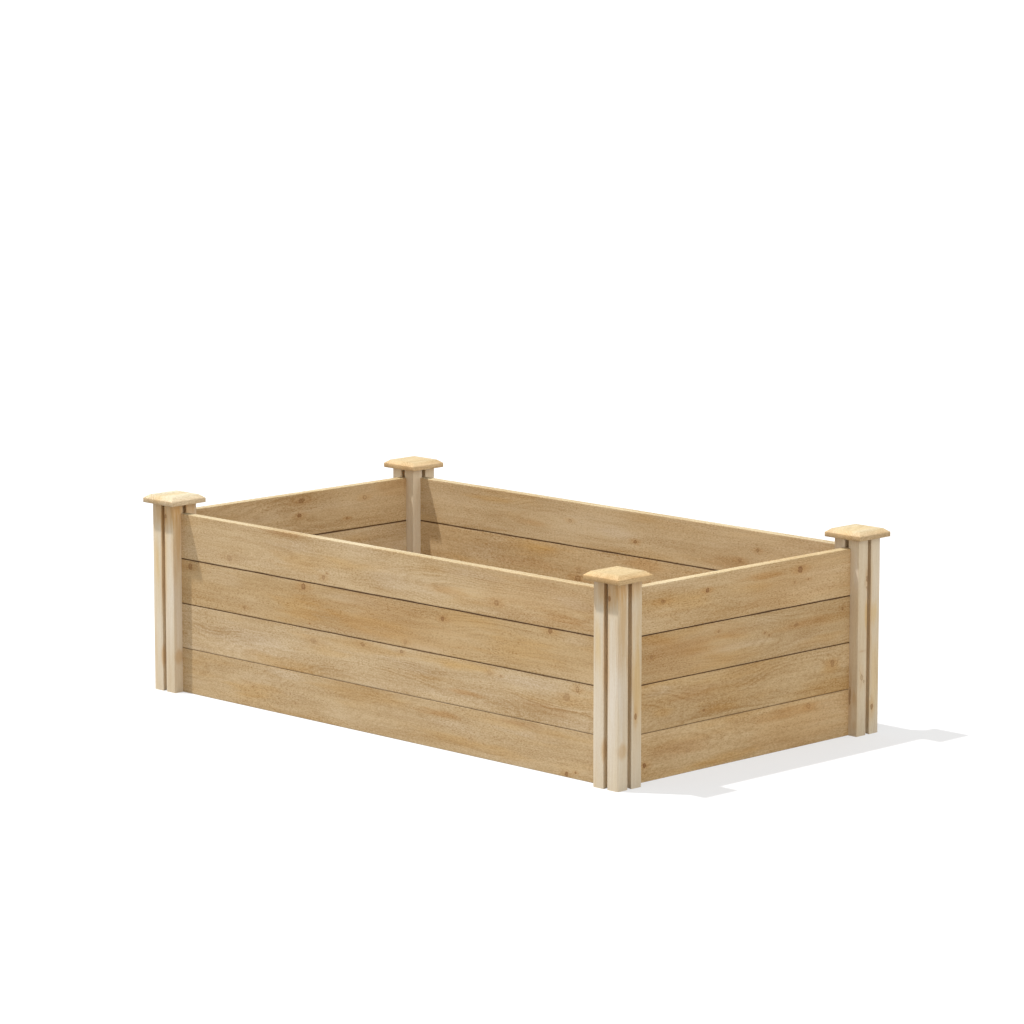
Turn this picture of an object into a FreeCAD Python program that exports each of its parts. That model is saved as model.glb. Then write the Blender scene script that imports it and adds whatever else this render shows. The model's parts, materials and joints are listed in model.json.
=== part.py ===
import FreeCAD, Part
import os

import Sketcher

# A raised garden bed of cedar: four grooved corner posts, four walls of stacked boards
# whose dovetailed ends drop into the grooves, and a bevelled cap pegged on each post.
#
# Millimetres, +Z up. The origin is on the ground in the middle of the bed. X runs along
# the long walls and Y along the short ones; the front wall is the long one facing -Y.
# The bed has no floor: posts and lowest boards stand on the ground.

SIZES = [
    ("long_span", 1205.7, "post centre to post centre along the long walls"),
    ("short_span", 646.1, "post centre to post centre along the short walls"),
    ("boards_per_wall", 4, "boards stacked edge on edge in each wall"),
    ("board_height", 88.9, "height of one board"),
    ("board_thickness", 19.05, "thickness of one board"),
    ("board_edge_round", 1.6, "rounding of a board's long edges"),
    ("post_width", 60.325, "side of the square post"),
    ("post_rise", 18.4, "post standing above the top board, up to the cap"),
    ("post_edge_round", 0.8, "rounding of a post's upright edges"),
    ("groove_mouth", 9.525, "width of a groove at the face of the post"),
    ("groove_depth", 12.7, "depth of a groove, square to the face"),
    ("groove_flare", 3.175, "how much a groove widens each side by its floor"),
    ("tongue_side_gap", 0.25, "play each side between a tongue and its groove"),
    ("tongue_end_gap", 0.5, "play between a tongue's end and the groove's floor"),
    ("cap_overhang", 13.5, "how far a cap stands out past each face of its post"),
    ("cap_thickness", 15.875, "full thickness of a cap"),
    ("cap_bevel_inset", 9.525, "how far the bevel runs in from the cap's side"),
    ("cap_bevel_rise", 7.14, "height of the bevel"),
    ("cap_edge_round", 0.8, "rounding of a cap's outer edges"),
    ("peg_diameter", 9.525, "diameter of the peg under a cap"),
    ("peg_in_cap", 9.5, "length of peg glued into the cap"),
    ("peg_in_post", 25.4, "length of peg that drops into the post"),
    ("peg_glue_gap", 0.04, "play around the peg in the cap, filled with glue"),
    ("peg_running_gap", 0.08, "play around the peg in the post"),
    ("peg_tip_gap", 2.0, "room under the peg in the post"),
    ("peg_end_bevel", 0.8, "bevel round both ends of the peg"),
]

POST_HEIGHT = "(sizes.boards_per_wall * sizes.board_height + sizes.post_rise)"
POST_HALF = "(sizes.post_width / 2)"
GROOVE_FLOOR = "(sizes.post_width / 2 - sizes.groove_depth)"
GROOVE_HALF_MOUTH = "(sizes.groove_mouth / 2)"
GROOVE_HALF_FLOOR = "(sizes.groove_mouth / 2 + sizes.groove_flare)"
TONGUE_LENGTH = "(sizes.groove_depth - sizes.tongue_end_gap)"
TONGUE_HALF_NECK = "(sizes.groove_mouth / 2 - sizes.tongue_side_gap)"
TONGUE_HALF_END = (
    "(sizes.groove_mouth / 2 - sizes.tongue_side_gap"
    " + sizes.groove_flare * " + TONGUE_LENGTH + " / sizes.groove_depth)"
)
BOARD_HALF_THICKNESS = "(sizes.board_thickness / 2)"
CAP_HALF = "(sizes.post_width / 2 + sizes.cap_overhang)"
CAP_HALF_TOP = "(sizes.post_width / 2 + sizes.cap_overhang - sizes.cap_bevel_inset)"
CAP_SIDE_HEIGHT = "(sizes.cap_thickness - sizes.cap_bevel_rise)"

# Each corner's name, with the side of the middle that it lies on along X and along Y.
CORNERS = [
    ("front_left", -1, -1),
    ("front_right", 1, -1),
    ("back_right", 1, 1),
    ("back_left", -1, 1),
]

# Each wall's name, the span it fills, and the direction in which it faces.
WALLS = [
    ("front", "sizes.long_span", 0, -1),
    ("back", "sizes.long_span", 0, 1),
    ("left", "sizes.short_span", -1, 0),
    ("right", "sizes.short_span", 1, 0),
]

# How exactly a point must lie on a line or face to count as on it.
TOUCH = 1e-6

document = FreeCAD.newDocument("raised_garden_bed")


def make_sheet():
    """Put the driving sizes into a spreadsheet, one named cell each."""
    sheet = document.addObject("Spreadsheet::Sheet", "sizes")
    for row, (name, value, meaning) in enumerate(SIZES, start=1):
        sheet.set("A%d" % row, meaning)
        sheet.set("B%d" % row, str(value))
        sheet.setAlias("B%d" % row, name)
    document.recompute()
    return sheet


sheet = make_sheet()


def size_of(expression):
    """The number that an expression on the sheet's cells gives."""
    value = sheet.evalExpression(expression)
    return float(getattr(value, "Value", value))


def make_body(label):
    """An empty body that carries one piece of the bed."""
    body = document.addObject("PartDesign::Body", label)
    body.Label = label
    return body


def ground_plane(body):
    """The body's own XY plane."""
    for feature in body.Origin.OriginFeatures:
        if feature.Role == "XY_Plane":
            return feature
    raise RuntimeError("no XY plane in " + body.Label)


def upright_axis(body):
    """The body's own Z axis."""
    for feature in body.Origin.OriginFeatures:
        if feature.Role == "Z_Axis":
            return feature
    raise RuntimeError("no Z axis in " + body.Label)


def level_sketch(body, name, height="0"):
    """A sketch lying level in a body, at a height above the body's origin."""
    sketch = body.newObject("Sketcher::SketchObject", name)
    sketch.AttachmentSupport = [(ground_plane(body), "")]
    sketch.MapMode = "FlatFace"
    sketch.setExpression("AttachmentOffset.Base.z", height)
    return sketch


def draw_outline(sketch, corners):
    """A closed outline of straight lines; each corner is two expressions, x and y."""
    points = [
        FreeCAD.Vector(size_of(x_expression), size_of(y_expression), 0)
        for x_expression, y_expression in corners
    ]
    count = len(points)
    for index in range(count):
        line = Part.LineSegment(points[index], points[(index + 1) % count])
        sketch.addGeometry(line, False)
    for index in range(count):
        following = (index + 1) % count
        sketch.addConstraint(Sketcher.Constraint("Coincident", index, 2, following, 1))
    for index, (x_expression, y_expression) in enumerate(corners):
        for kind, name, expression, value in (
            ("DistanceX", "across_%d" % index, x_expression, points[index].x),
            ("DistanceY", "along_%d" % index, y_expression, points[index].y),
        ):
            constraint = Sketcher.Constraint(kind, -1, 1, index, 1, value)
            number = sketch.addConstraint(constraint)
            sketch.renameConstraint(number, name)
            sketch.setExpression("Constraints." + name, expression)


def draw_square(sketch, half):
    """A square centred on the sketch's origin, from its half side."""
    draw_outline(
        sketch,
        [
            ("-" + half, "-" + half),
            (half, "-" + half),
            (half, half),
            ("-" + half, half),
        ],
    )


def draw_circle(sketch, diameter):
    """A circle centred on the sketch's origin, from its diameter."""
    up = FreeCAD.Vector(0, 0, 1)
    circle = Part.Circle(FreeCAD.Vector(0, 0, 0), up, size_of(diameter) / 2)
    sketch.addGeometry(circle, False)
    sketch.addConstraint(Sketcher.Constraint("Coincident", 0, 3, -1, 1))
    number = sketch.addConstraint(Sketcher.Constraint("Diameter", 0, size_of(diameter)))
    sketch.renameConstraint(number, "diameter")
    sketch.setExpression("Constraints.diameter", diameter)


def pad(body, name, sketch, length):
    """Raise a sketch into solid wood."""
    feature = body.newObject("PartDesign::Pad", name)
    feature.Profile = sketch
    feature.setExpression("Length", length)
    document.recompute()
    return feature


def pocket(body, name, sketch, length, upward):
    """Cut a sketch's shape out of the body, and make sure that it took wood away."""
    before = body.Shape.Volume
    feature = body.newObject("PartDesign::Pocket", name)
    feature.Profile = sketch
    feature.Reversed = upward
    feature.setExpression("Length", length)
    document.recompute()
    if body.Shape.Volume >= before - TOUCH:
        raise RuntimeError(name + " cuts nothing in " + body.Label)
    return feature


def round_edges(body, name, chosen, radius):
    """Round the edges of the body's last feature that the test chooses."""
    last = body.Tip
    names = [
        "Edge%d" % number
        for number, edge in enumerate(last.Shape.Edges, start=1)
        if chosen(edge)
    ]
    if not names:
        raise RuntimeError("no edges to round in " + body.Label)
    feature = body.newObject("PartDesign::Fillet", name)
    feature.Base = (last, names)
    feature.setExpression("Radius", radius)
    document.recompute()
    return feature


def place(body, x_expression, y_expression, z_expression):
    """Set a body down at a point given by three expressions."""
    body.setExpression("Placement.Base.x", x_expression)
    body.setExpression("Placement.Base.y", y_expression)
    body.setExpression("Placement.Base.z", z_expression)


def make_post(corner, side_x, side_y):
    """A square post with one dovetail groove down each face and a hole for the cap's peg."""
    body = make_body("post_" + corner)
    section = level_sketch(body, "post_section")
    draw_square(section, POST_HALF)
    pad(body, "post_stock", section, POST_HEIGHT)

    dovetail = level_sketch(body, "groove_section")
    draw_outline(
        dovetail,
        [
            (POST_HALF, "-" + GROOVE_HALF_MOUTH),
            (POST_HALF, GROOVE_HALF_MOUTH),
            (GROOVE_FLOOR, GROOVE_HALF_FLOOR),
            (GROOVE_FLOOR, "-" + GROOVE_HALF_FLOOR),
        ],
    )
    groove = pocket(body, "groove", dovetail, POST_HEIGHT, True)

    one_groove = body.Shape.Volume
    pattern = body.newObject("PartDesign::PolarPattern", "groove_each_face")
    pattern.Originals = [groove]
    pattern.Axis = (upright_axis(body), [""])
    pattern.Angle = 360
    pattern.Occurrences = 4
    body.Tip = pattern
    document.recompute()
    if body.Shape.Volume >= one_groove - TOUCH:
        raise RuntimeError("the grooves do not repeat in " + body.Label)

    half = size_of(POST_HALF)
    height = size_of(POST_HEIGHT)

    def stands_on_a_face(edge):
        if len(edge.Vertexes) != 2:
            return False
        start = edge.Vertexes[0].Point
        upright = abs(abs(edge.Vertexes[1].Point.z - start.z) - height) < TOUCH
        return upright and abs(max(abs(start.x), abs(start.y)) - half) < TOUCH

    round_edges(body, "eased_uprights", stands_on_a_face, "sizes.post_edge_round")

    hole = level_sketch(body, "peg_hole_section", POST_HEIGHT)
    draw_circle(hole, "(sizes.peg_diameter + 2 * sizes.peg_running_gap)")
    pocket(body, "peg_hole", hole, "(sizes.peg_in_post + sizes.peg_tip_gap)", False)

    place(
        body,
        "%d * sizes.long_span / 2" % side_x,
        "%d * sizes.short_span / 2" % side_y,
        "0",
    )
    return body


def make_board(wall, row, span, side_x, side_y):
    """A board with a dovetail tongue on each end, lying in its row of a wall."""
    body = make_body("board_%s_%d" % (wall, row))
    shoulder = "(%s / 2 - sizes.post_width / 2)" % span
    tip = "(%s / 2 - sizes.post_width / 2 + %s)" % (span, TONGUE_LENGTH)
    right_end = [
        (shoulder, "-" + BOARD_HALF_THICKNESS),
        (shoulder, "-" + TONGUE_HALF_NECK),
        (tip, "-" + TONGUE_HALF_END),
        (tip, TONGUE_HALF_END),
        (shoulder, TONGUE_HALF_NECK),
        (shoulder, BOARD_HALF_THICKNESS),
    ]
    left_end = [("-" + x_expression, y_expression) for x_expression, y_expression in right_end]
    outline = level_sketch(body, "board_outline")
    draw_outline(outline, right_end + left_end[::-1])
    pad(body, "board_stock", outline, "sizes.board_height")

    half_thickness = size_of(BOARD_HALF_THICKNESS)

    def is_long_edge(edge):
        start = edge.Vertexes[0].Point
        end = edge.Vertexes[-1].Point
        level = abs(start.z - end.z) < TOUCH
        on_face = abs(abs(start.y) - half_thickness) < TOUCH
        return level and on_face and abs(start.y - end.y) < TOUCH

    round_edges(body, "eased_long_edges", is_long_edge, "sizes.board_edge_round")

    if side_x:
        body.Placement.Rotation = FreeCAD.Rotation(FreeCAD.Vector(0, 0, 1), 90)
    place(
        body,
        "%d * sizes.long_span / 2" % side_x,
        "%d * sizes.short_span / 2" % side_y,
        "%d * sizes.board_height" % (row - 1),
    )
    return body


def make_cap(corner, side_x, side_y):
    """A square cap with a low bevel round its top and a blind hole for its peg."""
    body = make_body("cap_" + corner)
    base = level_sketch(body, "cap_section")
    draw_square(base, CAP_HALF)
    pad(body, "cap_slab", base, CAP_SIDE_HEIGHT)

    bevel_foot = level_sketch(body, "bevel_foot", CAP_SIDE_HEIGHT)
    draw_square(bevel_foot, CAP_HALF)
    bevel_head = level_sketch(body, "bevel_head", "sizes.cap_thickness")
    draw_square(bevel_head, CAP_HALF_TOP)
    bevel = body.newObject("PartDesign::AdditiveLoft", "cap_bevel")
    bevel.Profile = bevel_foot
    bevel.Sections = [bevel_head]
    bevel.Ruled = True
    document.recompute()

    def is_any_edge(edge):
        return edge.Length > 0

    round_edges(body, "eased_cap_edges", is_any_edge, "sizes.cap_edge_round")

    hole = level_sketch(body, "peg_seat_section")
    draw_circle(hole, "(sizes.peg_diameter + 2 * sizes.peg_glue_gap)")
    pocket(body, "peg_seat", hole, "sizes.peg_in_cap", True)

    place(
        body,
        "%d * sizes.long_span / 2" % side_x,
        "%d * sizes.short_span / 2" % side_y,
        POST_HEIGHT,
    )
    return body


def make_peg(corner, side_x, side_y):
    """The round peg glued into a cap, which drops into the hole in the post's top."""
    body = make_body("cap_peg_" + corner)
    section = level_sketch(body, "peg_section")
    draw_circle(section, "sizes.peg_diameter")
    rod = pad(body, "peg_rod", section, "(sizes.peg_in_cap + sizes.peg_in_post)")

    rims = [
        "Edge%d" % number
        for number, edge in enumerate(rod.Shape.Edges, start=1)
        if isinstance(edge.Curve, Part.Circle)
    ]
    bevel = body.newObject("PartDesign::Chamfer", "peg_end_bevels")
    bevel.Base = (rod, rims)
    bevel.setExpression("Size", "sizes.peg_end_bevel")
    document.recompute()

    place(
        body,
        "%d * sizes.long_span / 2" % side_x,
        "%d * sizes.short_span / 2" % side_y,
        "%s - sizes.peg_in_post" % POST_HEIGHT,
    )
    return body


def make_bed():
    """Every piece of the bed, in the order in which it goes together."""
    pieces = []
    for corner, side_x, side_y in CORNERS:
        pieces.append(make_post(corner, side_x, side_y))
    for row in range(1, int(size_of("sizes.boards_per_wall")) + 1):
        for wall, span, side_x, side_y in WALLS:
            pieces.append(make_board(wall, row, span, side_x, side_y))
    for corner, side_x, side_y in CORNERS:
        pieces.append(make_cap(corner, side_x, side_y))
        pieces.append(make_peg(corner, side_x, side_y))
    document.recompute()
    return pieces


def check_bed(pieces):
    """Stop if any feature failed or any piece is not one sound solid."""
    for item in document.Objects:
        if "Invalid" in item.State or "Error" in item.State:
            raise RuntimeError("failed feature: " + item.Label)
    for piece in pieces:
        shape = piece.Shape
        if shape.isNull() or not shape.isValid():
            raise RuntimeError("unsound piece: " + piece.Label)
        if len(shape.Solids) != 1:
            raise RuntimeError("not one solid: " + piece.Label)


def write_bed(pieces):
    """Write each piece to a file of its own name."""
    os.makedirs("parts", exist_ok=True)
    for piece in pieces:
        piece.Shape.exportStep("parts/" + piece.Label + ".step")
        print("%-24s %12.1f mm3" % (piece.Label, piece.Shape.Volume))


bed = make_bed()
check_bed(bed)
write_bed(bed)
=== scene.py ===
"""A raised garden bed of cedar, dressed for its picture around its packed construction.

Everything is in metres, in the bed's own frame: the origin on the ground in the middle of
the bed, X along the long walls, Y along the short ones, and the front wall facing -Y.
"""

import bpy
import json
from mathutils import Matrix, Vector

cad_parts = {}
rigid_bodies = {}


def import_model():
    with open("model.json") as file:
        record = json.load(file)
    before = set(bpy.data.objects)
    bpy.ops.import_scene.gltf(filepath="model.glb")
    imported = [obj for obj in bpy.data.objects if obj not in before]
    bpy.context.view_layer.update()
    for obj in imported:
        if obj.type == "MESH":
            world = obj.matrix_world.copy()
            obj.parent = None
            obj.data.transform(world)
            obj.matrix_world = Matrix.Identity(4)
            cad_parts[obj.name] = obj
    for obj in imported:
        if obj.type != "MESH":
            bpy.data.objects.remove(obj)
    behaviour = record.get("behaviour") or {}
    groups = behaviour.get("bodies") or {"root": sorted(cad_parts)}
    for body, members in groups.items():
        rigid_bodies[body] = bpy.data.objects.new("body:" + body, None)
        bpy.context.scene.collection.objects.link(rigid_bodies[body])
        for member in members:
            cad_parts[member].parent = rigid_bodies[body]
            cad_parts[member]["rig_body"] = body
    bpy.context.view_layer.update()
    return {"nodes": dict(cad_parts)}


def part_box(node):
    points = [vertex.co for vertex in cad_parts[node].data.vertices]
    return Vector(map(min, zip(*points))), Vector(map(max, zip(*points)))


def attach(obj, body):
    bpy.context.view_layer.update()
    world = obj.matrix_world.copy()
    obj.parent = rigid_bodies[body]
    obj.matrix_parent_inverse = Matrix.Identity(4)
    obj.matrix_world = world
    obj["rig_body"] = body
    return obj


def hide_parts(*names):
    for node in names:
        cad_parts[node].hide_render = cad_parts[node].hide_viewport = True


bl_info = {
    "name": "Raised garden bed",
    "version": (1, 0, 0),
    "blender": (4, 5, 0),
    "location": "View3D > Sidebar > Garden bed",
    "description": "Builds the boards, posts, caps and pegs of a cedar garden bed, and its stage",
    "category": "Add Mesh",
}

import json
import math
import random
from collections import namedtuple

import bmesh
import bpy
from bpy.props import FloatProperty, FloatVectorProperty, IntProperty, PointerProperty
from bpy.types import NodeSocket, Operator, Panel, PropertyGroup
from mathutils import Matrix, Vector, noise

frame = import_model()

MM = 0.001

CORNERS = ("front_left", "front_right", "back_right", "back_left")
ROWS = sum(1 for name in frame["nodes"] if name.startswith("board_front_"))

# How far each wall is turned from lying along X with its outer face to -Y, in degrees.
WALL_TURN = {"front": 0, "right": 90, "back": 180, "left": 270}
SIDE_WALLS = ("right", "left")

# The corners of a square, as signs along X and Y.
SQUARE = ((-1, -1), (1, -1), (1, 1), (-1, 1))
WHITE = (1.0, 1.0, 1.0, 1.0)

# A knot on a board, in millimetres: its distance from the middle of the board, to the
# right as seen from outside, its height above the board's lower edge, its radius, its
# stretch along the grain, how dark it is and how much paler its heart is than its rim.
Knot = namedtuple("Knot", "along above radius stretch shade hollow", defaults=(0.3,))

KNOTS = {
    "board_front_4": [
        Knot(-429, 18, 6.0, 1.2, 0.30, 0.0),
        Knot(-310, 29, 2.0, 1.5, 0.35),
        Knot(-159, 15, 4.0, 1.0, 0.80, 0.5),
        Knot(-149, 24, 1.6, 1.0, 0.75, 0.0),
        Knot(307, 28, 5.4, 1.0, 0.75, 0.6),
    ],
    "board_front_3": [
        Knot(-546, 76, 6.0, 1.0, 0.80, 0.2),
        Knot(-387, 16, 3.4, 1.1, 0.60, 0.2),
        Knot(-216, 79, 5.4, 1.1, 0.90, 0.3),
        Knot(-199, 10, 1.3, 1.0, 0.90, 0.0),
        Knot(66, 12, 4.6, 0.8, 0.45, 0.8),
        Knot(166, 67, 4.6, 0.9, 0.75, 0.1),
        Knot(445, 84, 5.0, 1.1, 0.85, 0.2),
    ],
    "board_front_2": [
        Knot(-188, 67, 6.0, 1.4, 0.30, 0.0),
        Knot(-51, 79, 4.0, 1.5, 0.50, 0.0),
        Knot(56, 80, 3.6, 1.2, 0.60, 0.0),
        Knot(289, 74, 4.6, 1.0, 0.45, 0.8),
        Knot(318, 72, 2.0, 1.2, 0.65, 0.0),
        Knot(486, 57, 7.0, 1.1, 0.40, 0.0),
        Knot(513, 76, 5.6, 0.7, 0.75, 0.8),
    ],
    "board_front_1": [
        Knot(-241, 26, 2.4, 1.0, 0.35),
        Knot(240, 30, 5.0, 1.2, 0.25, 0.8),
        Knot(486, 6, 4.0, 1.0, 0.90, 0.1),
        Knot(509, 12, 2.2, 1.0, 0.85, 0.0),
    ],
    "board_right_4": [
        Knot(-216, 55, 3.6, 1.8, 0.55, 0.0),
        Knot(-100, 60, 3.8, 1.2, 0.95, 0.1),
        Knot(136, 45, 2.2, 1.0, 0.45, 0.0),
        Knot(152, 67, 5.6, 1.1, 0.95, 0.2),
        Knot(175, 46, 2.2, 1.0, 0.60, 0.0),
    ],
    "board_right_3": [
        Knot(-246, 47, 3.4, 1.0, 0.45, 0.5),
        Knot(-70, 70, 2.6, 1.0, 0.60, 0.0),
        Knot(56, 50, 2.2, 1.0, 0.65, 0.0),
        Knot(68, 44, 2.0, 1.0, 0.60, 0.0),
        Knot(143, 54, 2.8, 2.2, 0.50, 0.0),
        Knot(272, 67, 3.2, 1.0, 0.60, 0.2),
    ],
    "board_right_2": [
        Knot(-108, 19, 2.6, 1.0, 0.70, 0.0),
        Knot(245, 56, 6.5, 0.8, 0.70, 0.3),
    ],
    "board_right_1": [
        Knot(-263, 31, 4.6, 1.0, 1.00, 0.0),
        Knot(-150, 40, 2.2, 1.5, 0.30),
        Knot(179, 74, 5.6, 0.9, 0.60, 0.7),
    ],
}

# A knot on a post, in millimetres: the face that it is on, its distance from the middle
# of that face, to the right as seen from outside, its height, and the rest as above.
PostKnot = namedtuple("PostKnot", "face across height radius stretch shade hollow")

POST_KNOTS = {
    "front_left": [PostKnot("front", 8, 350, 3.4, 1.3, 0.80, 0.1)],
    "front_right": [
        PostKnot("front", 8, 345, 3.4, 1.4, 0.95, 0.1),
        PostKnot("right", 15, 130, 3.6, 1.4, 0.95, 0.1),
    ],
    "back_right": [
        PostKnot("right", -5, 298, 3.6, 1.6, 0.95, 0.1),
        PostKnot("right", -7, 282, 1.8, 1.2, 0.60, 0.0),
        PostKnot("right", -18, 112, 4.6, 1.2, 0.60, 0.4),
        PostKnot("right", -12, 104, 2.4, 1.2, 0.50, 0.0),
        PostKnot("right", 12, 52, 3.6, 1.5, 0.95, 0.1),
        PostKnot("front", 12, 76, 2.6, 6.0, 0.80, 0.0),
    ],
    "back_left": [PostKnot("left", 14, 210, 3.4, 1.4, 0.80, 0.1)],
}

# What a stain does to the wood under it: how amber, how ruddy and how ashen it turns it.
STAIN_KINDS = {
    "amber": (1.0, 0.0, 0.0),
    "brown": (0.5, 0.7, 0.0),
    "tan": (0.4, 0.5, 0.0),
    "ruddy": (0.0, 0.5, 0.0),
    "ashen": (0.0, 0.0, 1.0),
}

# A stain on a board, in millimetres: its kind, its distance from the middle of the board
# and its height above the lower edge, half its length, half its height and its strength.
Stain = namedtuple("Stain", "kind along above half_along half_up strength", defaults=(1.0,))

STAINS = {
    "board_front_4": [
        Stain("ashen", -257, 65, 70, 10, 0.9),
        Stain("amber", -224, 35, 75, 18, 0.5),
        Stain("ruddy", -266, 86, 80, 5),
        Stain("ashen", 13, 42, 65, 20, 0.7),
        Stain("brown", 171, 34, 66, 9, 0.7),
        Stain("ashen", 240, 72, 95, 8, 0.8),
        Stain("ashen", 503, 53, 50, 12),
        Stain("brown", 485, 20, 65, 8, 0.35),
        Stain("tan", 420, 44, 200, 60, 0.45),
    ],
    "board_front_3": [
        Stain("ashen", -456, 67, 65, 18, 0.8),
        Stain("amber", -225, 36, 70, 24, 0.6),
        Stain("amber", -43, 34, 115, 20, 0.55),
        Stain("ashen", -112, 72, 75, 9, 1.0),
        Stain("ashen", -112, 5, 110, 9, 0.9),
        Stain("ashen", 128, 5, 70, 7, 0.8),
        Stain("amber", 369, 38, 110, 24, 0.45),
        Stain("ashen", 513, 77, 45, 11, 0.9),
        Stain("tan", 20, 44, 230, 60, 0.5),
    ],
    "board_front_2": [
        Stain("ashen", -370, 43, 130, 28, 0.7),
        Stain("amber", -71, 75, 135, 13, 0.55),
        Stain("amber", 174, 77, 120, 11, 0.5),
        Stain("ashen", 390, 69, 85, 11, 0.8),
        Stain("ruddy", 433, 30, 80, 11, 0.7),
        Stain("brown", 221, 28, 52, 5, 0.8),
        Stain("ashen", 107, 49, 75, 15, 0.5),
    ],
    "board_front_1": [
        Stain("amber", -354, 36, 80, 13, 0.6),
        Stain("ashen", -275, 79, 50, 9, 0.8),
        Stain("brown", 155, 67, 56, 8, 0.8),
        Stain("ruddy", 356, 81, 72, 5, 1.0),
        Stain("ashen", 390, 63, 80, 8, 0.9),
        Stain("amber", 318, 20, 95, 13, 0.45),
    ],
    "board_right_4": [
        Stain("amber", -171, 49, 110, 22, 0.5),
        Stain("ashen", 195, 34, 90, 18, 0.5),
        Stain("brown", 64, 68, 52, 6, 0.5),
        Stain("tan", 160, 44, 160, 60, 0.5),
    ],
    "board_right_3": [
        Stain("brown", 171, 53, 95, 12, 0.55),
        Stain("ruddy", -171, 54, 100, 20, 0.5),
        Stain("ashen", -32, 36, 100, 8, 0.8),
        Stain("amber", 216, 15, 75, 12, 0.5),
        Stain("brown", -24, 59, 52, 8, 0.35),
        Stain("tan", -160, 44, 160, 60, 0.6),
    ],
    "board_right_2": [
        Stain("ashen", -235, 74, 42, 12, 1.3),
        Stain("ruddy", -130, 56, 70, 16, 0.7),
        Stain("amber", -217, 34, 30, 10, 0.6),
        Stain("amber", -63, 17, 50, 8, 0.6),
        Stain("amber", 240, 48, 30, 18, 0.6),
    ],
    "board_right_1": [
        Stain("ruddy", -169, 48, 95, 16, 0.9),
        Stain("brown", 129, 71, 76, 14, 0.5),
        Stain("amber", -62, 9, 115, 12, 0.45),
        Stain("tan", 160, 44, 160, 60, 0.5),
    ],
}

# A stain on a post, in millimetres: its kind, the face that it is on, its distance from
# the middle of that face, its height, half its width, half its height and its strength.
# Some of them are painted shade or painted light instead, as marked below.
PostStain = namedtuple("PostStain", "kind face across height half_across half_up strength")

FRONT_POST_STAINS_AND_SHADE = [
    PostStain("ashen", "front", -18, 110, 14, 120, 0.4),
    PostStain("amber", "front", -18, 255, 8, 60, 0.8),
    PostStain("ashen", "front", 18, 170, 14, 160, 0.6),
    # Painted shade: the top of the face darkened and warmed where the cap shades it.
    PostStain("tan", "front", 0, 358, 60, 36, 1.15),
    # Painted shade: a warm dark strip down the open groove, for the shade inside it.
    PostStain("tan", "front", 0, 260, 9, 130, 1.2),
    PostStain("tan", "right", -18, 300, 12, 100, 1.1),
    # Painted shade: a warm dark strip down the open groove, for the shade inside it.
    PostStain("tan", "right", 0, 260, 9, 130, 0.6),
    PostStain("tan", "right", 19, 200, 12, 200, 0.4),
    # Painted shade: the top of the face darkened and warmed where the cap shades it.
    PostStain("tan", "right", 5, 366, 40, 26, 1.2),
    PostStain("ashen", "right", -18, 160, 12, 65, 0.5),
    PostStain("brown", "right", -18, 72, 14, 13, 0.7),
    PostStain("amber", "right", 19, 210, 12, 90, 0.8),
    PostStain("brown", "front", -4, 70, 8, 22, 0.9),
]

POST_STAINS_AND_SHADE = {
    "front_left": FRONT_POST_STAINS_AND_SHADE,
    "front_right": FRONT_POST_STAINS_AND_SHADE,
    "back_right": [
        # Painted shade: a warm dark strip down the open groove, for the shade inside it.
        PostStain("tan", "right", 0, 187, 9, 190, 0.9),
        PostStain("brown", "front", 21, 230, 8, 60, 0.15),
        PostStain("brown", "front", 22, 71, 7, 18, 0.6),
        PostStain("brown", "front", 22, 20, 7, 14, 0.5),
        # Painted light: a pale patch where the sun gets past the cap and the wall.
        PostStain("ashen", "front", 23, 313, 6, 36, 0.9),
        PostStain("amber", "right", -8, 230, 7, 32, 0.9),
        PostStain("ruddy", "right", -17, 162, 14, 3, 1.0),
        PostStain("amber", "right", 16, 232, 12, 26, 0.8),
        PostStain("amber", "right", 18, 90, 14, 80, 0.6),
    ],
    "back_left": [
        PostStain("amber", "left", 18, 240, 12, 80, 0.8),
        PostStain("ashen", "back", -18, 150, 12, 120, 0.6),
    ],
}

# How light and how warm a piece's wood is against the colours of its kind.
Tone = namedtuple("Tone", "light warm")

# The boards of each wall, lowest first.
BOARD_TONE = {
    "front": (Tone(0.955, 0.1), Tone(1.01, -0.5), Tone(0.92, 1.1), Tone(0.99, 0.0)),
    "right": (Tone(1.075, 0.8), Tone(0.97, 1.0), Tone(0.945, 0.8), Tone(1.03, 0.6)),
    "back": (Tone(0.97, 0.5), Tone(1.03, -0.5), Tone(1.00, 0.5), Tone(0.96, 0.0)),
    "left": (Tone(1.03, 0.0), Tone(0.96, 0.8), Tone(1.01, -0.5), Tone(0.98, 0.4)),
}
POST_TONE = {
    "front_left": Tone(1.0, 0.0),
    "front_right": Tone(0.975, 0.0),
    "back_right": Tone(0.97, 0.3),
    "back_left": Tone(1.0, 0.0),
}
CAP_TONE = {
    "front_left": Tone(1.07, -3.0),
    "front_right": Tone(0.95, 1.2),
    "back_right": Tone(0.95, -1.0),
    "back_left": Tone(1.0, 0.0),
}

# How much shade is painted into the joint at the lower edge of each row of boards, lowest
# first, and over the top one: a dark line that stands in for the shade in the narrow gap.
# Above 1 the darkest painted shade reaches further up and down from the joint.
JOINT_SHADE = (0.0, 0.85, 1.8, 2.8, 0.0)


# ------------------------------------------------------------------ sizes and colours


def length_property(name, description, millimetres):
    """A length that the user can change."""
    return FloatProperty(
        name=name, description=description, default=millimetres * MM, unit="LENGTH", precision=5
    )


def colour_property(name, description, colour):
    """A colour that the user can change."""
    return FloatVectorProperty(
        name=name, description=description, default=colour, subtype="COLOR", size=3, min=0, max=1
    )


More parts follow.
